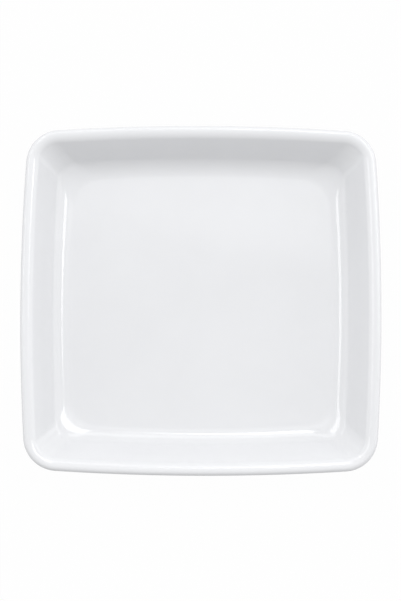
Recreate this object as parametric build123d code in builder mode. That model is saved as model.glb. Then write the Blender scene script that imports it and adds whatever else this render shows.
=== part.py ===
"""Square dinner plate with bowed sides, sloping walls and a rounded rim: clay body and glaze coats.

Millimetres, +Z up. The origin is the middle of the plate on the surface that it stands on, with X
across the plate and Y from front to back.

The shape is one profile carried round a rounded square. The profile is drawn in the finished, glazed
surface, as (inset from the rim's outline, height), and the clay lies one glaze thickness below it.
"""

import os
from itertools import product
from math import atan2, ceil, cos, pi, radians, sin, sqrt, tan

from build123d import *

# Rim
WIDTH = 260.0
DEPTH = 252.5
HEIGHT = 33.1
SIDE_TURN = 3.6  # degrees that each bowed side turns from its middle to its end
RIM_CORNER = 24.6  # corner radius in plan
RIM_EDGE = 3.2  # outer round
RIM_SHOULDER = 8.0  # inner round

# Wall and well
WALL_SLOPE = 52.0  # degrees from level
WALL = 4.8
FLOOR = 6.0
WELL_ROUND = 17.0
CREASE_CORNER = 16.0  # corner radius in plan at the bottom of the straight wall
FLOOR_CORNER = 22.0  # corner radius in plan of the flat floor

# Outside of the wall, below the rim
NECK_ROUND = 6.0
HEEL_CORNER = 21.0  # corner radius in plan at the underside

# Foot ring, which stands on the flat floor of the plate below it in a stack
FOOT_HEIGHT = 3.0
FOOT_WIDTH = 5.0
FOOT_EDGE = 0.6
FOOT_JOIN = 1.0
FOOT_LAND = 0.5  # flat left on the underside between the heel and the foot
STACK_CLEARANCE = 1.5

# Glaze, wiped off the standing edge of the foot
GLAZE = 0.4
BARE_EDGE = 1.0

# Longest steps between the points of the profile
ARC_STEP = 10.0  # degrees
WALL_STEP = 4.0

# Levels, and the directions across and down the wall
UNDERSIDE = FOOT_HEIGHT
WELL_FLOOR = UNDERSIDE + FLOOR
LEAN = radians(WALL_SLOPE)
ACROSS_WALL = Vector(sin(LEAN), cos(LEAN))
DOWN_WALL = Vector(cos(LEAN), -sin(LEAN))
TO_WALL_INSIDE = pi / 2 - LEAN
TO_WALL_OUTSIDE = TO_WALL_INSIDE + pi
STRAIGHT_DOWN = 3 * pi / 2

# Centres of the profile's arcs
EDGE_CENTRE = Vector(RIM_EDGE, HEIGHT - RIM_EDGE)
SHOULDER_CENTRE = Vector(RIM_EDGE, HEIGHT - RIM_SHOULDER)


def centre_beside_wall(off_shoulder_centre, level):
    """Centre of an arc at a level, a given distance across the wall from the shoulder's centre."""
    rise = level - SHOULDER_CENTRE.Y
    return Vector(SHOULDER_CENTRE.X + (off_shoulder_centre - rise * ACROSS_WALL.Y) / ACROSS_WALL.X, level)


WELL_CENTRE = centre_beside_wall(RIM_SHOULDER + WELL_ROUND, WELL_FLOOR + WELL_ROUND)
FOOT_INSET = WELL_CENTRE.X + STACK_CLEARANCE
HEEL_INSET = FOOT_INSET - FOOT_JOIN - FOOT_LAND
HEEL_CORNER_POINT = centre_beside_wall(RIM_SHOULDER - WALL, UNDERSIDE)
HEEL_ROUND = (HEEL_INSET - HEEL_CORNER_POINT.X) / tan(LEAN / 2)
HEEL_CENTRE = Vector(HEEL_INSET, UNDERSIDE + HEEL_ROUND)
EDGE_TO_SHOULDER = SHOULDER_CENTRE - EDGE_CENTRE
NECK_ACROSS = EDGE_TO_SHOULDER.dot(ACROSS_WALL) + RIM_SHOULDER - WALL - NECK_ROUND
NECK_DOWN = sqrt((RIM_EDGE + NECK_ROUND) ** 2 - NECK_ACROSS**2)
EDGE_TO_NECK = ACROSS_WALL * NECK_ACROSS + DOWN_WALL * NECK_DOWN
NECK_CENTRE = EDGE_CENTRE + EDGE_TO_NECK
TO_RIM = atan2(-EDGE_TO_NECK.Y, -EDGE_TO_NECK.X)


def arc(centre, radius, start, end, side):
    """Points along an arc with the normals out of the plate; side is 1 on a round, -1 in a hollow."""
    spans = ceil(abs(end - start) / radians(ARC_STEP))
    angles = [start + (end - start) * span / spans for span in range(spans + 1)]
    outwards = [Vector(cos(angle), sin(angle)) for angle in angles]
    return [(centre + outward * radius, outward * side) for outward in outwards]


def straight(start, end):
    """Points between the ends of two arcs, neither of them included."""
    run = end[0] - start[0]
    spans = ceil(run.length / WALL_STEP)
    return [(start[0] + run * (span / spans), start[1]) for span in range(1, spans)]


def between(low, high, share):
    """Value at a share of the way from low to high."""
    return low + (high - low) * share


def ease(share):
    """Share that starts and ends gently."""
    return share**2 * (3 - 2 * share)


def soon(share):
    """Share that starts and ends gently, with most of it in the first half."""
    return ease(share * (2 - share))


HEEL = arc(HEEL_CENTRE, HEEL_ROUND, STRAIGHT_DOWN, TO_WALL_OUTSIDE, 1)
NECK = arc(NECK_CENTRE, NECK_ROUND, TO_WALL_INSIDE, TO_RIM, -1)
OUTER_EDGE = arc(EDGE_CENTRE, RIM_EDGE, TO_RIM + pi, pi / 2, 1)
SHOULDER = arc(SHOULDER_CENTRE, RIM_SHOULDER, pi / 2, TO_WALL_INSIDE, 1)
RIM = OUTER_EDGE[:-1] + SHOULDER
WELL = arc(WELL_CENTRE, WELL_ROUND, TO_WALL_OUTSIDE, STRAIGHT_DOWN, -1)
OUTER_WALL = straight(HEEL[-1], NECK[0]) + NECK[:-1]
INNER_WALL = straight(RIM[-1], WELL[0])


def corners_along(stretch, start, start_corner, end, end_corner, shape=float):
    """Corner radii in plan along a stretch, between those at the points where it starts and ends."""
    length = end[0].X - start[0].X
    shares = [(point.X - start[0].X) / length for point, _ in stretch]
    return [between(start_corner, end_corner, shape(share)) for share in shares]


def stations():
    """Turns of the finished profile, from the underside over the rim to the floor of the well."""
    rim_corners = [RIM_CORNER - point.X for point, _ in RIM]
    outer_crease = CREASE_CORNER + WALL
    corners = corners_along(HEEL, HEEL[0], HEEL_CORNER, HEEL[-1], outer_crease, ease)
    corners += corners_along(OUTER_WALL, HEEL[-1], outer_crease, RIM[0], rim_corners[0])
    corners += rim_corners
    corners += corners_along(INNER_WALL, RIM[-1], rim_corners[-1], WELL[0], CREASE_CORNER)
    corners += corners_along(WELL, WELL[0], CREASE_CORNER, WELL[-1], FLOOR_CORNER, soon)
    return zip(HEEL + OUTER_WALL + RIM + INNER_WALL + WELL, corners)


def rounded_square(plane, inset, corner):
    """Face on a plane: the rim's outline brought in by an inset, with bowed sides and round corners."""
    side_end = radians(SIDE_TURN)
    back_end = pi / 2 - side_end
    bow = tan(side_end / 2)
    half_x = WIDTH / 2 - inset
    half_y = DEPTH / 2 - inset
    centre_x = (half_x - corner - bow * (half_y - corner)) / (1 - bow**2)
    centre_y = (half_y - corner - bow * (half_x - corner)) / (1 - bow**2)

    def on_corner(turn, x_sign, y_sign):
        """Point on one of the four corner arcs, which the signs choose."""
        x = centre_x + corner * cos(turn)
        y = centre_y + corner * sin(turn)
        return (x * x_sign, y * y_sign)

    with BuildSketch(plane) as outline:
        with BuildLine():
            for sign in (1, -1):
                ThreePointArc(on_corner(side_end, sign, -1), (half_x * sign, 0), on_corner(side_end, sign, 1))
                ThreePointArc(on_corner(back_end, -1, sign), (0, half_y * sign), on_corner(back_end, 1, sign))
            for signs in product((1, -1), repeat=2):
                ThreePointArc(*(on_corner(turn, *signs) for turn in (side_end, pi / 4, back_end)))
        make_face()
    return outline.sketch


def plate_form(skin):
    """Plate without its foot, with its surface a skin's thickness below the finished one."""
    turns = []
    for (point, normal), corner in stations():
        below = point - normal * skin
        turns.append(rounded_square(Plane.XY.offset(below.Y), below.X, corner - (below.X - point.X)))
    loft(turns)


def foot_ring(skin, bottom):
    """Foot ring from a level up to the underside, its sides a skin's thickness below the glaze."""
    top = UNDERSIDE + skin
    outer = FOOT_INSET + skin
    inner = FOOT_INSET + FOOT_WIDTH - skin
    corner = FLOOR_CORNER - STACK_CLEARANCE - skin
    with BuildSketch(Plane.XY.offset(bottom)) as ring:
        add(rounded_square(Plane.XY, outer, corner))
        add(rounded_square(Plane.XY, inner, corner - (inner - outer)), mode=Mode.SUBTRACT)
    extrude(ring.sketch, amount=top - bottom)
    fillet(edges(Select.LAST).group_by(Axis.Z)[-1], FOOT_JOIN + skin)


with BuildPart() as clay_body:
    plate_form(GLAZE)
    foot_ring(GLAZE, 0)
    fillet(clay_body.edges().group_by(Axis.Z)[0], FOOT_EDGE)

# The whole plate as it is dipped, down to the bare edge
with BuildPart() as dipped_plate:
    plate_form(0)
    foot_ring(0, BARE_EDGE)

# What the dip adds to the clay, which the bare foot divides in two
with BuildPart() as dip:
    add(dipped_plate.part)
    add(clay_body.part, mode=Mode.SUBTRACT)

with BuildPart() as base_glaze:
    add(dip.solids().sort_by(SortBy.VOLUME)[0])

with BuildPart() as glaze_coat:
    add(dip.solids().sort_by(SortBy.VOLUME)[-1])

clay_body.part.label = "clay_body"
glaze_coat.part.label = "glaze_coat"
base_glaze.part.label = "base_glaze"

os.makedirs("parts", exist_ok=True)
export_step(clay_body.part, "parts/clay_body.step")
export_step(glaze_coat.part, "parts/glaze_coat.step")
export_step(base_glaze.part, "parts/base_glaze.step")
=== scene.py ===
"""Square glazed dinner plate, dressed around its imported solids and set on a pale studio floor.

Metres, in the frame of the solids: +Z up, with the origin in the middle of the plate on the surface
that it stands on. The plate is one profile carried round a rounded square. Each of its pieces is a
closed mesh of such turns: the clay body, the glaze coat over it and the glaze panel underneath.
"""

import logging
import math
from abc import ABC, abstractmethod
from collections.abc import Callable
from dataclasses import dataclass, replace
from enum import Enum
from statistics import fmean
from typing import Any

import bmesh
import bpy
from mathutils import Matrix, Vector


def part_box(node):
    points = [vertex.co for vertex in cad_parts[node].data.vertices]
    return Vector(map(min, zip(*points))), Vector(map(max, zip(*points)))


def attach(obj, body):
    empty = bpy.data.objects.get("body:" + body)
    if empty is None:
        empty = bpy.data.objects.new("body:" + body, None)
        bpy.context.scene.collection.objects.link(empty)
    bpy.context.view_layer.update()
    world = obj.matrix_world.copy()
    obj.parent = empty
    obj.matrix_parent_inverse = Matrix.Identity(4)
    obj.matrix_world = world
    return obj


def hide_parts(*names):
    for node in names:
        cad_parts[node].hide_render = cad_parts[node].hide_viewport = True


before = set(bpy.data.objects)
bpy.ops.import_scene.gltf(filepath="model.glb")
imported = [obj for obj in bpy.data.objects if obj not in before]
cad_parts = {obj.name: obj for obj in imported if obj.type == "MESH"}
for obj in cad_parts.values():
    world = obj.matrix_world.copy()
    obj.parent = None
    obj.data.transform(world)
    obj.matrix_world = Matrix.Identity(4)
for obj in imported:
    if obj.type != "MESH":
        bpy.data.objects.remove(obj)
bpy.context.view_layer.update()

LOG = logging.getLogger("plate")
BODY = "root"
MM = 0.001
QUARTER = math.pi / 2

Colour = tuple[float, float, float]
Face = tuple[int, int, int, int]

WHITE: Colour = (1.0, 1.0, 1.0)


class Node(Enum):
    """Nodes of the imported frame, by the piece that stands for each."""

    CLAY_BODY = "clay_body"
    GLAZE_COAT = "glaze_coat"
    BASE_GLAZE = "base_glaze"


class Slot(Enum):
    """Material slots of the record."""

    BARE_CLAY = "bare_clay"
    WHITE_GLAZE = "white_glaze"


class Bend(Enum):
    """Which way an arc of the profile turns, as the side that its surface faces."""

    ROUND = 1.0
    HOLLOW = -1.0


class Mark(Enum):
    """Values kept on the points of a mesh for its finish."""

    GLAZE_DEPTH = "glaze_depth"
    SCUFF = "scuff"


def between(low: float, high: float, share: float) -> float:
    """Value at a share of the way from low to high."""
    return low + (high - low) * share


def blended(values: list[float], reach: int) -> list[float]:
    """Evens out a row of values.

    Args:
        values: the row.
        reach: how many neighbours on each side count towards a value.

    Returns:
        The row, each value the mean of itself and its neighbours.
    """
    return [fmean(values[max(0, place - reach) : place + reach + 1]) for place in range(len(values))]


def put_in_scene(name: str, data: bpy.types.ID) -> bpy.types.Object:
    """Makes an object and puts it in the scene.

    Args:
        name: the object's name.
        data: its mesh, lamp or camera.

    Returns:
        The new object.
    """
    thing = bpy.data.objects.new(name, data)
    bpy.context.scene.collection.objects.link(thing)
    return thing


def plain(share: float) -> float:
    """Share as it is."""
    return share


def ease(share: float) -> float:
    """Share that starts and ends gently."""
    return share**2 * (3 - 2 * share)


def soon(share: float) -> float:
    """Share that starts and ends gently, with most of it in the first half."""
    return ease(share * (2 - share))


@dataclass(frozen=True)
class Spot:
    """Point of the finished profile, as (inset from the rim, height), and the way its surface faces."""

    place: Vector
    facing: Vector

    def sunk(self, skin: float) -> Vector:
        """Place a skin's thickness below the surface."""
        return self.place - self.facing * skin


@dataclass(frozen=True)
class Turn:
    """One turn of the profile round the plate, with the mark that its points carry."""

    inset: float
    height: float
    corner: float
    mark: float = 0.0


@dataclass(frozen=True)
class Stretch:
    """Stretch of the profile along which the corners' radius runs from one value to another.

    Its start and end are (inset, corner radius), and its depth is how thick the glaze lies on it.
    """

    spots: list[Spot]
    start: tuple[float, float]
    end: tuple[float, float]
    depth: float
    shape: Callable[[float], float] = plain

    def turns(self, skin: float) -> list[Turn]:
        """Turns of the stretch.

        Args:
            skin: how far below the finished surface they lie.

        Returns:
            One turn for each spot.
        """
        turns = []
        for spot in self.spots:
            share = (spot.place.x - self.start[0]) / (self.end[0] - self.start[0])
            corner = between(self.start[1], self.end[1], self.shape(share))
            below = spot.sunk(skin)
            turns.append(Turn(below.x, below.y, corner - (below.x - spot.place.x), self.depth))
        return turns


def arc(centre: Vector, radius: float, start: float, end: float, spans: int, bend: Bend) -> list[Spot]:
    """Spots along an arc of the profile.

    Args:
        centre: middle of the arc.
        radius: its radius.
        start: angle at which it starts.
        end: angle at which it ends.
        spans: number of even spans along it.
        bend: whether the surface is round or hollow there.

    Returns:
        The spots from start to end, both included.
    """
    spots = []
    for span in range(spans + 1):
        angle = between(start, end, span / spans)
        outward = Vector((math.cos(angle), math.sin(angle)))
        spots.append(Spot(centre + outward * radius, outward * bend.value))
    return spots


def straight(start: Spot, end: Spot, spans: int, lead: float = 0.04) -> list[Spot]:
    """Spots between two that face the same way, with one close to each end.

    Args:
        start: spot before the first.
        end: spot after the last.
        spans: number of even spans between the two close ones.
        lead: share of the stretch from each end to the spot close to it.

    Returns:
        The spots between start and end, neither included.
    """
    shares = [between(lead, 1 - lead, span / spans) for span in range(spans + 1)]
    return [Spot(start.place.lerp(end.place, share), start.facing) for share in shares]


@dataclass(frozen=True)
class PlateForm:
    """Sizes of the finished plate, and the turns that its profile makes."""

    width: float
    depth: float
    height: float
    side_turn: float = math.radians(3.6)
    rim_corner: float = 24.6 * MM
    rim_edge: float = 3.2 * MM
    rim_shoulder: float = 8.0 * MM
    wall_slope: float = math.radians(52.0)
    wall: float = 4.8 * MM
    floor: float = 6.0 * MM
    well_round: float = 17.0 * MM
    crease_corner: float = 16.0 * MM
    floor_corner: float = 22.0 * MM
    neck_round: float = 6.0 * MM
    heel_corner: float = 21.0 * MM
    foot_height: float = 3.0 * MM
    foot_width: float = 5.0 * MM
    foot_join: float = 1.0 * MM
    foot_land: float = 0.5 * MM
    stack_clearance: float = 1.5 * MM
    glaze: float = 0.4 * MM
    bare_edge: float = 1.0 * MM
    lip_height: float = 0.7 * MM
    lip_spans: int = 5
    heel_spans: int = 16
    wall_spans: int = 8
    neck_spans: int = 8
    edge_spans: int = 20
    shoulder_spans: int = 18
    well_spans: int = 26
    join_spans: int = 5
    flat_insets: tuple[float, ...] = (0.6 * MM, 9.0 * MM, 19.0 * MM, 30.0 * MM)
    flat_corner: float = 2.0 * MM
    # A glaze depth of 0 gives the rim the paler thin shade, which paints in the light that the rim catches.
    rim_depth: float = 0.0
    wall_depth: float = 0.5
    well_depth: float = 1.0
    flat_depth: float = 0.6
    depth_reach: int = 6

    @classmethod
    def from_frame(cls) -> "PlateForm":
        """Takes the overall sizes from the glaze coat's box, which is the finished plate's."""
        low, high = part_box(Node.GLAZE_COAT.value)
        return cls(width=high.x - low.x, depth=high.y - low.y, height=high.z)

    @property
    def across_wall(self) -> Vector:
        """Direction square to the inner wall, out of it."""
        return Vector((math.sin(self.wall_slope), math.cos(self.wall_slope)))

    @property
    def edge_centre(self) -> Vector:
        """Centre of the rim's outer round."""
        return Vector((self.rim_edge, self.height - self.rim_edge))

    @property
    def shoulder_centre(self) -> Vector:
        """Centre of the rim's inner round, which leads to the wall."""
        return Vector((self.rim_edge, self.height - self.rim_shoulder))

    @property
    def well_centre(self) -> Vector:
        """Centre of the hollow between the inner wall and the floor."""
        level = self.foot_height + self.floor + self.well_round
        return self.beside_wall(self.rim_shoulder + self.well_round, level)

    @property
    def foot_inset(self) -> float:
        """Inset of the foot's outside, which stands on the floor of the plate below in a stack."""
        return self.well_centre.x + self.stack_clearance

    @property
    def lip_top(self) -> float:
        """Height at which the glossy side of the glaze starts, above the bare edge."""
        return self.bare_edge + self.lip_height

    def beside_wall(self, off_shoulder_centre: float, level: float) -> Vector:
        """Point beside the wall.

        Args:
            off_shoulder_centre: its distance across the wall from the centre of the rim's shoulder.
            level: its height.

        Returns:
            The point, as (inset, height).
        """
        rise = level - self.shoulder_centre.y
        across = self.across_wall
        return Vector((self.shoulder_centre.x + (off_shoulder_centre - rise * across.y) / across.x, level))

    def heel(self) -> list[Spot]:
        """Round from the underside to the outer wall.

        Returns:
            Its spots, from the underside up.
        """
        inset = self.foot_inset - self.foot_join - self.foot_land
        corner = self.beside_wall(self.rim_shoulder - self.wall, self.foot_height)
        radius = (inset - corner.x) / math.tan(self.wall_slope / 2)
        centre = Vector((inset, self.foot_height + radius))
        to_wall = 3 * QUARTER - self.wall_slope
        return arc(centre, radius, 3 * QUARTER, to_wall, self.heel_spans, Bend.ROUND)

    def neck(self) -> list[Spot]:
        """Hollow where the outer wall turns out to the rim's outer round.

        Returns:
            Its spots, from the wall up.
        """
        to_shoulder = self.shoulder_centre - self.edge_centre
        across = to_shoulder.dot(self.across_wall) + self.rim_shoulder - self.wall - self.neck_round
        down = math.sqrt((self.rim_edge + self.neck_round) ** 2 - across**2)
        down_wall = Vector((math.cos(self.wall_slope), -math.sin(self.wall_slope)))
        from_edge = self.across_wall * across + down_wall * down
        to_edge = math.atan2(-from_edge.y, -from_edge.x)
        to_wall = QUARTER - self.wall_slope
        centre = self.edge_centre + from_edge
        return arc(centre, self.neck_round, to_wall, to_edge, self.neck_spans, Bend.HOLLOW)

    def rim(self) -> list[Spot]:
        """Rim, from the neck over its outer round and its shoulder to the inner wall.

        Returns:
            Its spots, from the outside in.
        """
        from_neck = self.neck()[-1].facing
        start = math.atan2(from_neck.y, from_neck.x)
        start += 2 * math.pi if start < 0 else 0
        to_wall = QUARTER - self.wall_slope
        edge = arc(self.edge_centre, self.rim_edge, start, QUARTER, self.edge_spans, Bend.ROUND)
        shoulder = arc(
            self.shoulder_centre, self.rim_shoulder, QUARTER, to_wall, self.shoulder_spans, Bend.ROUND
        )
        return edge[:-1] + shoulder

    def well(self) -> list[Spot]:
        """Spots of the hollow from the inner wall to the floor."""
        to_wall = 3 * QUARTER - self.wall_slope
        return arc(self.well_centre, self.well_round, to_wall, 3 * QUARTER, self.well_spans, Bend.HOLLOW)

    def upper(self, skin: float) -> list[Turn]:
        """Turns from the underside over the rim to the middle of the floor.

        Args:
            skin: how far below the finished surface they lie.

        Returns:
            The turns, the first at the heel and the last on the flat floor.
        """
        heel, neck, rim, well = self.heel(), self.neck(), self.rim(), self.well()
        outer = straight(heel[-1], neck[0], self.wall_spans) + neck[:-1]
        inner = straight(rim[-1], well[0], self.wall_spans)
        flats = [Spot(well[-1].place + Vector((inset, 0.0)), well[-1].facing) for inset in self.flat_insets]
        heel_start = (heel[0].place.x, self.heel_corner)
        heel_end = (heel[-1].place.x, self.crease_corner + self.wall)
        rim_start = (rim[0].place.x, self.rim_corner - rim[0].place.x)
        rim_end = (rim[-1].place.x, self.rim_corner - rim[-1].place.x)
        well_edge = (well[0].place.x, self.crease_corner)
        floor_edge = (well[-1].place.x, self.floor_corner)
        floor_middle = (flats[-1].place.x, self.flat_corner)
        stretches = (
            Stretch(heel, heel_start, heel_end, self.wall_depth, ease),
            Stretch(outer, heel_end, rim_start, self.wall_depth),
            Stretch(rim, (0.0, self.rim_corner), rim_end, self.rim_depth),
            Stretch(inner, rim_end, well_edge, self.wall_depth),
            Stretch(well, well_edge, floor_edge, self.well_depth, soon),
            Stretch(flats, floor_edge, floor_middle, self.flat_depth),
        )
        turns = [turn for stretch in stretches for turn in stretch.turns(skin)]
        depths = blended([turn.mark for turn in turns], self.depth_reach)
        return [replace(turn, mark=depth) for turn, depth in zip(turns, depths)]

    def foot_turn(self, inset: float, height: float, mark: float = 0.0) -> Turn:
        """Turn on the foot ring, whose corners run parallel to its outside."""
        return Turn(inset, height, self.floor_corner - self.stack_clearance - (inset - self.foot_inset), mark)

    def outer_foot(self, skin: float, bottom: float) -> list[Turn]:
        """Turns up the foot's outside and round its join to the underside.

        Args:
            skin: how far below the finished surface they lie.
            bottom: height of the first.

        Returns:
            The turns, from the bottom up.
        """
        centre = Vector((self.foot_inset - self.foot_join, self.foot_height - self.foot_join))
        spots = arc(centre, self.foot_join, 0.0, QUARTER, self.join_spans, Bend.HOLLOW)
        join = [spot.sunk(skin) for spot in spots]
        start = self.foot_turn(self.foot_inset + skin, bottom)
        return [start] + [self.foot_turn(place.x, place.y) for place in join]

    def inner_foot(self, skin: float, bottom: float) -> list[Turn]:
        """Turns up the foot's inside, round its join and in to the middle of the underside.

        Args:
            skin: how far below the finished surface they lie.
            bottom: height of the first.

        Returns:
            The turns, from the bottom up and then inwards.
        """
        inside = self.foot_inset + self.foot_width
        centre = Vector((inside + self.foot_join, self.foot_height - self.foot_join))
        spots = arc(centre, self.foot_join, 2 * QUARTER, QUARTER, self.join_spans, Bend.HOLLOW)
        join = [spot.sunk(skin) for spot in spots]
        turns = [self.foot_turn(inside - skin, bottom)]
        turns += [self.foot_turn(place.x, place.y) for place in join]
        last = turns[-1]
        for inset in self.flat_insets:
            share = inset / self.flat_insets[-1]
            corner = between(last.corner, self.flat_corner, share)
            turns.append(Turn(last.inset + inset, last.height, corner, self.flat_depth))
        return turns

    def lip(self, clay: float, glazed: float) -> list[Turn]:
        """Turns round the lip in which the glaze ends at the bare edge of the foot.

        Args:
            clay: inset of the clay's side of the glaze.
            glazed: inset of its glossy side.

        Returns:
            The turns between the two sides, neither included.
        """
        turns = []
        for span in range(1, self.lip_spans):
            angle = QUARTER * span / self.lip_spans
            inset = between(clay, glazed, math.sin(angle))
            turns.append(self.foot_turn(inset, self.bare_edge + self.lip_height * (1 - math.cos(angle))))
        return turns


@dataclass(frozen=True)
class RingMesh:
    """Closed meshes of turns round the plate, with a grid across the first turn and the last."""

    form: PlateForm
    corner_steps: int = 10
    side_steps: int = 36

    @property
    def steps(self) -> int:
        """Steps along one side of a ring, from the middle of a corner to the middle of the next."""
        return 2 * self.corner_steps + self.side_steps

    def facings(self) -> list[float]:
        """Ways that the points of one side face.

        Returns:
            Their angles from the way that the middle of the side faces.
        """
        turn = self.form.side_turn
        half = QUARTER / 2
        corner = [between(-half, -turn, step / self.corner_steps) for step in range(self.corner_steps)]
        side = [between(-turn, turn, step / self.side_steps) for step in range(self.side_steps)]
        far_corner = [between(turn, half, step / self.corner_steps) for step in range(self.corner_steps)]
        return corner + side + far_corner

    def ring(self, turn: Turn) -> list[Vector]:
        """Points of one turn, anticlockwise from the middle of the front left corner.

        Args:
            turn: inset, height and corner radius of the turn.

        Returns:
            The points, as many on each of the four sides.
        """
        side_turn = self.form.side_turn
        bow = math.tan(side_turn / 2)
        half_x = self.form.width / 2 - turn.inset - turn.corner
        half_y = self.form.depth / 2 - turn.inset - turn.corner
        centre_x = (half_x - bow * half_y) / (1 - bow**2)
        centre_y = (half_y - bow * half_x) / (1 - bow**2)
        points = []
        for side in range(4):
            # The bowed side is an arc that runs into the corners' arcs without a kink
            along, out = (centre_x, centre_y) if side % 2 == 0 else (centre_y, centre_x)
            bow_radius = turn.corner + along / math.sin(side_turn)
            bow_centre = out - along / math.tan(side_turn)
            spin = Matrix.Rotation(side * QUARTER, 2)
            for facing in self.facings():
                if abs(facing) < side_turn:
                    sideways = bow_radius * math.sin(facing)
                    outwards = bow_centre + bow_radius * math.cos(facing)
                else:
                    sideways = math.copysign(along, facing) + turn.corner * math.sin(facing)
                    outwards = out + turn.corner * math.cos(facing)
                spot = spin @ Vector((sideways, -outwards))
                points.append(Vector((spot.x, spot.y, turn.height)))
        return points

    def on_ring(self, u: int, v: int) -> int:
        """Place on a ring of a point at the edge of the grid inside it.

        Args:
            u: steps of the point along the front.
            v: steps from the front to the back.

        Returns:
            The point's number on the ring.
        """
        steps = self.steps
        if v == 0:
            return u
        if u == steps:
            return steps + v
        if v == steps:
            return 3 * steps - u
        return (4 * steps - v) % (4 * steps)

    def grid_point(self, ring: list[Vector], u: int, v: int) -> Vector:
        """Point inside a ring, blended from the points of its four sides.

        Args:
            ring: points of the ring.
            u: steps of the point along the front.
            v: steps from the front to the back.

        Returns:
            The point.
        """
        steps = self.steps
        x, y = u / steps, v / steps
        front, back = ring[self.on_ring(u, 0)], ring[self.on_ring(u, steps)]
        left, right = ring[self.on_ring(0, v)], ring[self.on_ring(steps, v)]
        low = ring[0].lerp(ring[steps], x)
        high = ring[3 * steps].lerp(ring[2 * steps], x)
        return front.lerp(back, y) + left.lerp(right, x) - low.lerp(high, y)

    def band_faces(self, bands: int) -> list[Face]:
        """Faces of the bands between rings that follow each other.

        Args:
            bands: number of bands.

        Returns:
            The faces, band after band.
        """
        count = 4 * self.steps
        faces = []
        for lower in range(0, count * bands, count):
            for step in range(count):
                after = (step + 1) % count
                faces.append((lower + step, lower + after, lower + count + after, lower + count + step))
        return faces

    def cap_faces(self, ring: list[Vector], first: int, points: list[Vector]) -> list[Face]:
        """Faces of the grid across a ring.

        Args:
            ring: points of the ring.
            first: number of the ring's first point in the mesh.
            points: points of the mesh, to which the grid's own are added.

        Returns:
            The faces.
        """
        index = {}
        for u in range(self.steps + 1):
            for v in range(self.steps + 1):
                if u in (0, self.steps) or v in (0, self.steps):
                    index[u, v] = first + self.on_ring(u, v)
                else:
                    index[u, v] = len(points)
                    points.append(self.grid_point(ring, u, v))
        cells = [(u, v) for u in range(self.steps) for v in range(self.steps)]
        return [(index[u, v], index[u + 1, v], index[u + 1, v + 1], index[u, v + 1]) for u, v in cells]

    def build(self, name: str, turns: list[Turn], mark: Mark) -> bpy.types.Object:
        """Makes a closed piece through turns.

        Args:
            name: the piece's name.
            turns: the turns, in order along the profile.
            mark: what the turns' marks are kept as on the points.

        Returns:
            The new object.
        """
        count = 4 * self.steps
        rings = [self.ring(turn) for turn in turns]
        points = [point for ring in rings for point in ring]
        marks = [turn.mark for turn in turns for _ in range(count)]
        faces = self.band_faces(len(rings) - 1)
        for place in (0, len(rings) - 1):
            faces += self.cap_faces(rings[place], place * count, points)
            marks += [turns[place].mark] * (len(points) - len(marks))
        mesh = bpy.data.meshes.new(name)
        mesh.from_pydata(points, [], faces)
        solid = bmesh.new()
        solid.from_mesh(mesh)
        bmesh.ops.recalc_face_normals(solid, faces=solid.faces)
        solid.to_mesh(mesh)
        solid.free()
        mesh.shade_smooth()
        mesh.attributes.new(mark.value, "FLOAT", "POINT").data.foreach_set("value", marks)
        return put_in_scene(name, mesh)


def cleared_tree(owner: bpy.types.Material | bpy.types.World) -> bpy.types.NodeTree:
    """Empties the node tree of a material or a world.

    Args:
        owner: the material or the world.

    Returns:
        Its empty tree.
    """
    owner.use_nodes = True
    owner.node_tree.nodes.clear()
    return owner.node_tree


class NodeDesk:
    """Adds nodes to one node tree and joins them."""

    NOISE_ROUGHNESS = 0.55

    # Numbers of the Mix node's sockets for colours, whose names it also gives to other sockets
    MIX_SHARE = 0
    MIX_FIRST = 6
    MIX_SECOND = 7
    MIX_RESULT = 2

    def __init__(self, tree: bpy.types.NodeTree) -> None:
        """Keeps the tree that the nodes go into."""
        self.tree = tree

    def fill(self, socket: bpy.types.NodeSocket, value: Any) -> None:
        """Joins an output to an input, or sets the input.

        Args:
            socket: the input.
            value: an output socket, a number or a colour.
        """
        if isinstance(value, bpy.types.NodeSocket):
            self.tree.links.new(value, socket)
        else:
            socket.default_value = (*value, 1.0) if isinstance(value, tuple) else value

    def add(self, kind: str, inputs: dict[str | int, Any] | None = None, **settings: Any) -> bpy.types.Node:
        """Adds a node, sets its properties and fills its inputs.

        Args:
            kind: type of the node, without the prefix that all shader nodes share.
            inputs: values or output sockets, by the name or number of the input.
            settings: properties, by name.

        Returns:
            The new node.
        """
        node = self.tree.nodes.new(f"ShaderNode{kind}")
        for name, value in settings.items():
            setattr(node, name, value)
        for name, value in (inputs or {}).items():
            self.fill(node.inputs[name], value)
        return node

    def mix(self, share: Any, first: Any, second: Any) -> bpy.types.NodeSocket:
        """Colour mixed from two by a share."""
        inputs = {self.MIX_SHARE: share, self.MIX_FIRST: first, self.MIX_SECOND: second}
        return self.add("Mix", inputs, data_type="RGBA").outputs[self.MIX_RESULT]

    def math(self, operation: str, first: Any, second: Any) -> bpy.types.NodeSocket:
        """Value worked out from two."""
        return self.add("Math", {0: first, 1: second}, operation=operation).outputs[0]

    def spread(self, value: Any, start: float, end: float, low: float, high: float) -> bpy.types.NodeSocket:
        """Value carried from one range to another, and held at the ends."""
        inputs = {"Value": value, "From Min": start, "From Max": end, "To Min": low, "To Max": high}
        return self.add("MapRange", inputs).outputs[0]

    def noise(self, place: Any, scale: Any, detail: float) -> bpy.types.NodeSocket:
        """Soft random value over a surface."""
        inputs = {"Vector": place, "Scale": scale, "Detail": detail, "Roughness": self.NOISE_ROUGHNESS}
        return self.add("TexNoise", inputs).outputs[0]


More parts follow.
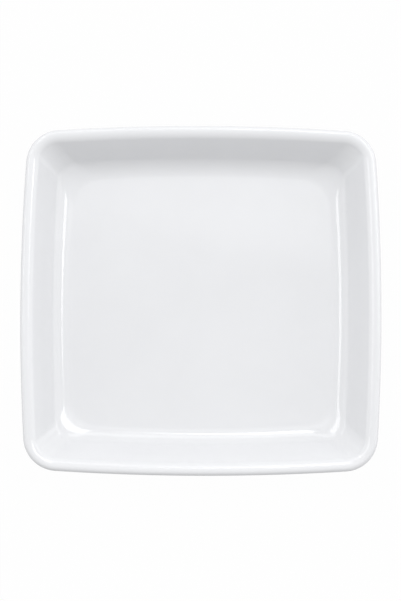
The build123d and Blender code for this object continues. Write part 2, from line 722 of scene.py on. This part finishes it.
class EffectGroup(NodeDesk):
    """Desk for a new shader node group with named inputs and outputs."""

    def __init__(self, name: str, inputs: dict[str, str], outputs: dict[str, str]) -> None:
        """Makes the group and its sockets.

        Args:
            name: the group's name.
            inputs: kinds of the input sockets, by name.
            outputs: kinds of the output sockets, by name.
        """
        super().__init__(bpy.data.node_groups.new(name, "ShaderNodeTree"))
        for direction, sockets in (("INPUT", inputs), ("OUTPUT", outputs)):
            for socket, kind in sockets.items():
                self.tree.interface.new_socket(socket, in_out=direction, socket_type=f"NodeSocket{kind}")
        self.given = self.tree.nodes.new("NodeGroupInput").outputs
        self.end = self.tree.nodes.new("NodeGroupOutput")

    def put_out(self, **outputs: bpy.types.NodeSocket) -> bpy.types.NodeTree:
        """Joins values to the group's outputs.

        Args:
            outputs: the values, by the output's name.

        Returns:
            The finished group.
        """
        for name, socket in outputs.items():
            self.fill(self.end.inputs[name], socket)
        return self.tree


class SharedEffects:
    """Effects that more than one finish uses, each a node group that is built once."""

    BROAD_SHARE = 0.7
    FINE_PER_BROAD = 5.3
    CLOUD_RANGE = (0.32, 0.68)

    def __init__(self) -> None:
        """Builds the groups."""
        self.fired_mottle = self.make_fired_mottle()
        self.pinholes = self.make_pinholes()
        self.skin_ripple = self.make_skin_ripple()

    def make_fired_mottle(self) -> bpy.types.NodeTree:
        """Makes soft patches of two shades, broad ones with finer clouds in them.

        Returns:
            The group, which puts out their colour and the cloud that mixes it.
        """
        kinds = {"Place": "Vector", "Shade": "Color", "Other Shade": "Color", "Patches": "Float"}
        group = EffectGroup("fired_mottle", kinds, {"Colour": "Color", "Cloud": "Float"})
        place, patches = group.given["Place"], group.given["Patches"]
        broad = group.noise(place, patches, detail=2.0)
        fine = group.noise(place, group.math("MULTIPLY", patches, self.FINE_PER_BROAD), detail=4.0)
        broad_part = group.math("MULTIPLY", broad, self.BROAD_SHARE)
        fine_part = group.math("MULTIPLY", fine, 1 - self.BROAD_SHARE)
        cloud = group.spread(group.math("ADD", broad_part, fine_part), *self.CLOUD_RANGE, 0.0, 1.0)
        colour = group.mix(cloud, group.given["Shade"], group.given["Other Shade"])
        return group.put_out(Colour=colour, Cloud=cloud)

    @staticmethod
    def make_pinholes() -> bpy.types.NodeTree:
        """Makes sparse round pits: one in a few of the cells that the surface is divided into.

        Returns:
            The group, which puts out 1 in the middle of a pit and 0 outside.
        """
        kinds = {"Place": "Vector", "Cells": "Float", "Share": "Float", "Radius": "Float"}
        group = EffectGroup("pinholes", kinds, {"Pit": "Float"})
        cells = group.add("TexVoronoi", {"Vector": group.given["Place"], "Scale": group.given["Cells"]})
        chance = group.add("SeparateColor", {0: cells.outputs["Color"]}).outputs[0]
        chosen = group.math("LESS_THAN", chance, group.given["Share"])
        near = group.math("DIVIDE", cells.outputs["Distance"], group.given["Radius"])
        inputs = {"Value": near, "To Min": 1.0, "To Max": 0.0}
        bowl = group.add("MapRange", inputs, interpolation_type="SMOOTHSTEP").outputs[0]
        return group.put_out(Pit=group.math("MULTIPLY", chosen, bowl))

    @staticmethod
    def make_skin_ripple() -> bpy.types.NodeTree:
        """Makes the height of a fired skin: long waves with a fine grain on them.

        Returns:
            The group, which puts out the height.
        """
        kinds = {"Place": "Vector", "Waves": "Float", "Grain": "Float", "Grain Share": "Float"}
        group = EffectGroup("skin_ripple", kinds, {"Height": "Float"})
        waves = group.noise(group.given["Place"], group.given["Waves"], detail=1.0)
        grain = group.noise(group.given["Place"], group.given["Grain"], detail=3.0)
        grain_part = group.math("MULTIPLY", grain, group.given["Grain Share"])
        return group.put_out(Height=group.math("ADD", waves, grain_part))


class MaterialDesk(NodeDesk):
    """Desk for a new material around one principled shader."""

    def __init__(self, name: str) -> None:
        """Makes the material, its shader and the place on the object.

        Args:
            name: the material's name.
        """
        self.material = bpy.data.materials.new(name)
        super().__init__(cleared_tree(self.material))
        self.shader = self.add("BsdfPrincipled")
        self.add("OutputMaterial", {"Surface": self.shader.outputs[0]})
        self.place = self.add("TexCoord").outputs["Object"]

    def effect(self, group: bpy.types.NodeTree, **inputs: Any) -> bpy.types.bpy_prop_collection:
        """Outputs of a shared effect, given its inputs by name with _ for a space."""
        named = {name.replace("_", " "): value for name, value in inputs.items()}
        return self.add("Group", {"Place": self.place, **named}, node_tree=group).outputs

    def mark(self, mark: Mark) -> bpy.types.NodeSocket:
        """Value that the mesh keeps on its points."""
        return self.add("Attribute", attribute_name=mark.value).outputs["Fac"]

    def feed(self, **inputs: Any) -> None:
        """Fills the shader's inputs, given by name with _ for a space."""
        for name, value in inputs.items():
            self.fill(self.shader.inputs[name.replace("_", " ")], value)

    def bump(self, height: bpy.types.NodeSocket, rise: float) -> bpy.types.NodeSocket:
        """Normal bent by a height, where rise is the height of 1 in metres."""
        return self.add("Bump", {"Strength": 1.0, "Distance": rise, "Height": height}).outputs[0]


@dataclass(frozen=True, kw_only=True)
class FiredFinish(ABC):
    """Finish of a fired surface: two mottled shades, pinholes and a rippled skin."""

    name: str
    shade: Colour
    other_shade: Colour
    pit_shade: Colour
    patches: float
    roughness: tuple[float, float]
    ior: float
    ripple: float
    waves: float
    grain: float
    grain_share: float
    pit_cells: float
    pit_share: float
    pit_radius: float
    pit_depth: float

    @abstractmethod
    def tint(self, desk: MaterialDesk, colour: Any, ripple: Any) -> bpy.types.NodeSocket:
        """Mottled colour, changed where the mesh's mark says so."""

    def make(self, effects: SharedEffects) -> bpy.types.Material:
        """Builds the material.

        Args:
            effects: the shared node groups.

        Returns:
            The finished material.
        """
        desk = MaterialDesk(self.name)
        mottle = desk.effect(
            effects.fired_mottle, Shade=self.shade, Other_Shade=self.other_shade, Patches=self.patches
        )
        pit = desk.effect(
            effects.pinholes, Cells=self.pit_cells, Share=self.pit_share, Radius=self.pit_radius
        )["Pit"]
        ripple = desk.effect(
            effects.skin_ripple, Waves=self.waves, Grain=self.grain, Grain_Share=self.grain_share
        )["Height"]
        height = desk.math("ADD", ripple, desk.math("MULTIPLY", pit, self.pit_depth))
        desk.feed(
            Base_Color=desk.mix(pit, self.tint(desk, mottle["Colour"], ripple), self.pit_shade),
            Roughness=desk.spread(mottle["Cloud"], 0.0, 1.0, *self.roughness),
            Normal=desk.bump(height, self.ripple),
            IOR=self.ior,
        )
        return desk.material


@dataclass(frozen=True, kw_only=True)
class GlazeFinish(FiredFinish):
    """Glossy white glaze, a little paler where it thins over an edge; on the rim the paler shade is painted
    light, standing in for the light that the rim catches.
    """

    # Paler shade where the glaze is thin: real at the foot's lip, painted light on the rim, where it stands
    # for the light that the rim catches.
    thin_and_lit_shade: Colour
    thin_and_lit_depth: float = 0.5
    pit_shade: Colour = (0.55, 0.53, 0.5)
    patches: float = 14.0
    roughness: tuple[float, float] = (0.06, 0.1)
    ior: float = 1.5
    ripple: float = 0.012 * MM
    waves: float = 90.0
    grain: float = 900.0
    grain_share: float = 0.06
    pit_cells: float = 110.0
    pit_share: float = 0.02
    pit_radius: float = 0.03
    pit_depth: float = -2.0

    def tint(self, desk: MaterialDesk, colour: Any, ripple: Any) -> bpy.types.NodeSocket:
        """Colour of the glaze, with the paler shade where its depth is small: thin glaze at the foot's lip,
        and painted light on the rim.
        """
        thin_and_lit = desk.spread(desk.mark(Mark.GLAZE_DEPTH), 0.0, self.thin_and_lit_depth, 1.0, 0.0)
        return desk.mix(thin_and_lit, colour, self.thin_and_lit_shade)


@dataclass(frozen=True, kw_only=True)
class BareClay(FiredFinish):
    """Matt fired clay, scuffed grey where it stands."""

    name: str = "bare_clay"
    shade: Colour = (0.76, 0.73, 0.67)
    other_shade: Colour = (0.82, 0.8, 0.75)
    scuff_shade: Colour = (0.52, 0.5, 0.47)
    scuff_heights: tuple[float, float] = (0.75, 1.1)
    pit_shade: Colour = (0.5, 0.46, 0.4)
    patches: float = 60.0
    roughness: tuple[float, float] = (0.62, 0.8)
    ior: float = 1.45
    ripple: float = 0.03 * MM
    waves: float = 700.0
    grain: float = 3200.0
    grain_share: float = 0.8
    pit_cells: float = 600.0
    pit_share: float = 0.12
    pit_radius: float = 0.25
    pit_depth: float = -1.2

    def tint(self, desk: MaterialDesk, colour: Any, ripple: Any) -> bpy.types.NodeSocket:
        """Colour of the clay, scuffed on the high spots of the standing edge."""
        worn = desk.spread(ripple, *self.scuff_heights, 0.0, 1.0)
        return desk.mix(desk.math("MULTIPLY", desk.mark(Mark.SCUFF), worn), colour, self.scuff_shade)


def settle(piece: bpy.types.Object, node: Node, material: bpy.types.Material) -> None:
    """Dresses a piece and gives it its place in the frame.

    Args:
        piece: the piece.
        node: CAD node that it stands for.
        material: its material.
    """
    piece.data.materials.append(material)
    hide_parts(node.value)
    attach(piece, BODY)
    LOG.info("%s: %d points, %s", piece.name, len(piece.data.vertices), material.name)


@dataclass(frozen=True)
class ClayBody:
    """Fired clay from rim to foot, bare on the standing edge of the foot ring."""

    form: PlateForm
    meshes: RingMesh
    finish: BareClay
    foot_edge: float = 0.6 * MM
    edge_spans: int = 5

    def edge_round(self, inset: float, start: float) -> list[Spot]:
        """Quarter round of the standing edge, by its centre's inset and the angle at its start."""
        centre = Vector((inset, self.foot_edge))
        return arc(centre, self.foot_edge, start, start + QUARTER, self.edge_spans, Bend.ROUND)

    def turns(self) -> list[Turn]:
        """Follows the clay from the floor over the rim to the standing edge and the underside.

        Returns:
            The turns, those on the standing edge marked as scuffed.
        """
        form, skin, edge = self.form, self.form.glaze, self.foot_edge
        outer_edge = self.edge_round(form.foot_inset + skin + edge, 2 * QUARTER)
        inner_edge = self.edge_round(form.foot_inset + form.foot_width - skin - edge, 3 * QUARTER)
        standing = [spot.place for spot in outer_edge[1:] + inner_edge[:-1]]
        down = form.outer_foot(skin, edge) + form.upper(skin)
        return [
            *reversed(down),
            *(form.foot_turn(place.x, place.y, ease(1 - place.y / edge)) for place in standing),
            *form.inner_foot(skin, edge),
        ]

    def build(self) -> bpy.types.Object:
        """Makes the clay's mesh."""
        return self.meshes.build("plate_clay", self.turns(), Mark.SCUFF)

    def dress(self, piece: bpy.types.Object, effects: SharedEffects) -> None:
        """Gives the clay its finish and its place."""
        settle(piece, Node.CLAY_BODY, self.finish.make(effects))


@dataclass(frozen=True)
class GlazeCoat:
    """Glaze over the foot's outside, the outer wall, the rim, the inner wall and the floor."""

    form: PlateForm
    meshes: RingMesh
    finish: GlazeFinish

    def turns(self) -> list[Turn]:
        """Follows the coat from the floor down its clay side, round its lip and back on its glossy side.

        Returns:
            The turns, marked with the glaze's depth.
        """
        form, skin = self.form, self.form.glaze
        clay_side = form.outer_foot(skin, form.bare_edge) + form.upper(skin)
        glossy_side = form.outer_foot(0.0, form.lip_top) + form.upper(0.0)
        return [*reversed(clay_side), *form.lip(form.foot_inset + skin, form.foot_inset), *glossy_side]

    def build(self) -> bpy.types.Object:
        """Makes the coat's mesh."""
        return self.meshes.build("plate_glaze", self.turns(), Mark.GLAZE_DEPTH)

    def dress(self, piece: bpy.types.Object, effects: SharedEffects) -> None:
        """Gives the coat its finish and its place."""
        settle(piece, Node.GLAZE_COAT, self.finish.make(effects))


@dataclass(frozen=True)
class BaseGlaze:
    """Glaze panel under the plate, inside the foot ring."""

    form: PlateForm
    meshes: RingMesh
    finish: GlazeFinish

    def turns(self) -> list[Turn]:
        """Follows the panel from its middle out on its clay side, round its lip and back on its glossy side.

        Returns:
            The turns, marked with the glaze's depth.
        """
        form, skin = self.form, self.form.glaze
        edge = form.foot_inset + form.foot_width
        clay_side = form.inner_foot(skin, form.bare_edge)
        glossy_side = form.inner_foot(0.0, form.lip_top)
        return [*reversed(clay_side), *form.lip(edge - skin, edge), *glossy_side]

    def build(self) -> bpy.types.Object:
        """Makes the panel's mesh."""
        return self.meshes.build("plate_base_glaze", self.turns(), Mark.GLAZE_DEPTH)

    def dress(self, piece: bpy.types.Object, effects: SharedEffects) -> None:
        """Gives the panel its finish and its place."""
        settle(piece, Node.BASE_GLAZE, self.finish.make(effects))


@dataclass(frozen=True)
class SoftBox:
    """Soft lamp above the plate, aimed at its middle."""

    name: str
    zenith: float
    azimuth: float
    high: float
    long: float
    radiance: float
    roll: float = 0.0
    distance: float = 3.0

    def build(self) -> None:
        """Makes the lamp, with its long side level before its roll."""
        lamp = bpy.data.lights.new(self.name, "AREA")
        lamp.shape = "RECTANGLE"
        lamp.size = self.long
        lamp.size_y = self.high
        # Blender spreads an area lamp's watts over pi times its area
        lamp.energy = self.radiance * math.pi * self.long * self.high
        holder = put_in_scene(self.name, lamp)
        zenith, azimuth = math.radians(self.zenith), math.radians(self.azimuth)
        level = Vector((math.cos(azimuth), math.sin(azimuth), 0.0))
        direction = level * math.sin(zenith) + Vector((0.0, 0.0, math.cos(zenith)))
        holder.location = direction * self.distance
        aim = direction.to_track_quat("Z", "Y").to_matrix()
        holder.rotation_euler = (aim @ Matrix.Rotation(math.radians(self.roll), 3, "Z")).to_euler()
        holder.visible_camera = False
        LOG.info("%s: %.0f W", self.name, lamp.energy)


@dataclass(frozen=True)
class Studio:
    """White surround, pale floor and soft lamps."""

    ambient: float = 0.525
    floor_size: float = 12.0
    floor_shade: Colour = (0.5, 0.5, 0.5)
    floor_white: float = 0.985
    lamps: tuple[SoftBox, ...] = (
        SoftBox("right_back_box", zenith=30.0, azimuth=46.5, high=0.78, long=2.6, radiance=4.5, roll=8.0),
        SoftBox("left_back_box", zenith=35.7, azimuth=149.0, high=0.58, long=2.0, radiance=3.9),
        SoftBox("back_box", zenith=46.0, azimuth=95.0, high=0.8, long=2.6, radiance=1.7),
        SoftBox("overhead_panel", zenith=13.0, azimuth=78.0, high=0.6, long=1.8, radiance=0.7),
        SoftBox("left_low_box", zenith=62.0, azimuth=180.0, high=0.9, long=1.8, radiance=0.2),
        SoftBox("right_low_box", zenith=56.0, azimuth=-5.0, high=0.9, long=2.0, radiance=0.65),
        SoftBox("right_strip", zenith=71.5, azimuth=0.0, high=0.65, long=1.5, radiance=0.8),
        SoftBox("right_back_strip", zenith=71.5, azimuth=30.0, high=0.65, long=1.5, radiance=2.5),
        SoftBox("left_back_strip", zenith=71.5, azimuth=150.0, high=0.65, long=1.5, radiance=1.75),
        SoftBox("left_strip", zenith=71.5, azimuth=180.0, high=0.65, long=1.5, radiance=0.7),
        SoftBox("right_wing", zenith=83.0, azimuth=5.0, high=0.5, long=2.6, radiance=0.8),
        SoftBox("left_wing", zenith=83.0, azimuth=186.0, high=0.5, long=2.2, radiance=0.5),
    )

    def build(self) -> None:
        """Makes the surround, the floor and the lamps."""
        self.build_surround()
        self.build_floor()
        for lamp in self.lamps:
            lamp.build()

    @staticmethod
    def seen(desk: NodeDesk) -> bpy.types.NodeSocket:
        """Finds the rays that show a background: straight, mirrored or let through.

        Args:
            desk: desk of the background's node tree.

        Returns:
            A share that is 1 for those rays and 0 for the rest.
        """
        path = desk.add("LightPath").outputs
        mirrored = desk.math("MAXIMUM", path["Is Glossy Ray"], path["Is Transmission Ray"])
        return desk.math("MAXIMUM", path["Is Camera Ray"], mirrored)

    def build_surround(self) -> None:
        """Lights the scene evenly from all round, and shows white."""
        world = bpy.data.worlds.new("white_surround")
        desk = NodeDesk(cleared_tree(world))
        light = desk.add("Background", {"Strength": self.ambient, "Color": WHITE})
        white = desk.add("Background", {"Strength": 1.0, "Color": WHITE})
        both = desk.add("MixShader", {0: self.seen(desk), 1: light.outputs[0], 2: white.outputs[0]})
        desk.add("OutputWorld", {"Surface": both.outputs[0]})
        bpy.context.scene.world = world

    def build_floor(self) -> None:
        """Lays the floor, which shows nearly white and keeps the plate's shadow."""
        half = self.floor_size / 2
        corners = [(-half, -half, 0.0), (half, -half, 0.0), (half, half, 0.0), (-half, half, 0.0)]
        mesh = bpy.data.meshes.new("studio_floor")
        mesh.from_pydata(corners, [], [(0, 1, 2, 3)])
        floor = put_in_scene("studio_floor", mesh)
        material = bpy.data.materials.new("pale_floor")
        desk = NodeDesk(cleared_tree(material))
        matt = desk.add("BsdfDiffuse", {"Color": self.floor_shade})
        white = desk.add("Emission", {"Strength": 1.0, "Color": WHITE})
        share = desk.math("MULTIPLY", self.seen(desk), self.floor_white)
        both = desk.add("MixShader", {0: share, 1: matt.outputs[0], 2: white.outputs[0]})
        desk.add("OutputMaterial", {"Surface": both.outputs[0]})
        mesh.materials.append(material)


@dataclass(frozen=True)
class PhotoCamera:
    """Camera almost straight above the plate, framed as the photo is."""

    form: PlateForm
    distance: float = 1.04
    tilt: float = math.radians(4.04)
    roll: float = math.radians(0.137)
    picture: tuple[float, float] = (401.0, 601.0)
    plate_middle: tuple[float, float] = (200.89, 299.48)
    plate_pixels: float = 361.0
    sensor: float = 36.0

    def build(self) -> None:
        """Makes the camera and puts it in use."""
        camera = bpy.data.cameras.new("photo_camera")
        pixel = self.form.width / self.plate_pixels
        camera.sensor_width = self.sensor
        # The sensor's width lies along the longer side of the picture
        camera.lens = self.sensor * self.distance / (pixel * max(self.picture))
        holder = put_in_scene("photo_camera", camera)
        turn = Matrix.Rotation(self.tilt, 4, "X") @ Matrix.Rotation(self.roll, 4, "Z")
        across = (self.picture[0] / 2 - self.plate_middle[0]) * pixel
        up = (self.plate_middle[1] - self.picture[1] / 2) * pixel
        rim_level = Matrix.Translation((0.0, 0.0, self.form.edge_centre.y))
        holder.matrix_world = rim_level @ turn @ Matrix.Translation((across, up, self.distance))
        bpy.context.scene.camera = holder


def main() -> None:
    """Builds the plate's pieces in order, then the studio and the camera."""
    logging.basicConfig(level=logging.INFO, format="%(name)s: %(message)s")
    bpy.context.scene.view_settings.view_transform = "Standard"
    form = PlateForm.from_frame()
    meshes = RingMesh(form)
    effects = SharedEffects()
    white = GlazeFinish(
        name="white_glaze",
        shade=(0.745, 0.752, 0.77),
        other_shade=(0.765, 0.772, 0.79),
        # Paler than the glaze's shade: on the rim this is painted light, for the rim's brighter look under
        # the lamps.
        thin_and_lit_shade=(0.785, 0.792, 0.81),
    )
    under = GlazeFinish(
        name="base_glaze",
        shade=(0.73, 0.737, 0.753),
        other_shade=(0.76, 0.767, 0.783),
        thin_and_lit_shade=(0.76, 0.762, 0.765),
        roughness=(0.09, 0.16),
        pit_share=0.06,
    )
    for part in (
        ClayBody(form, meshes, BareClay()),
        GlazeCoat(form, meshes, white),
        BaseGlaze(form, meshes, under),
    ):
        part.dress(part.build(), effects)
    Studio().build()
    PhotoCamera(form).build()


if __name__ == "__main__":
    main()
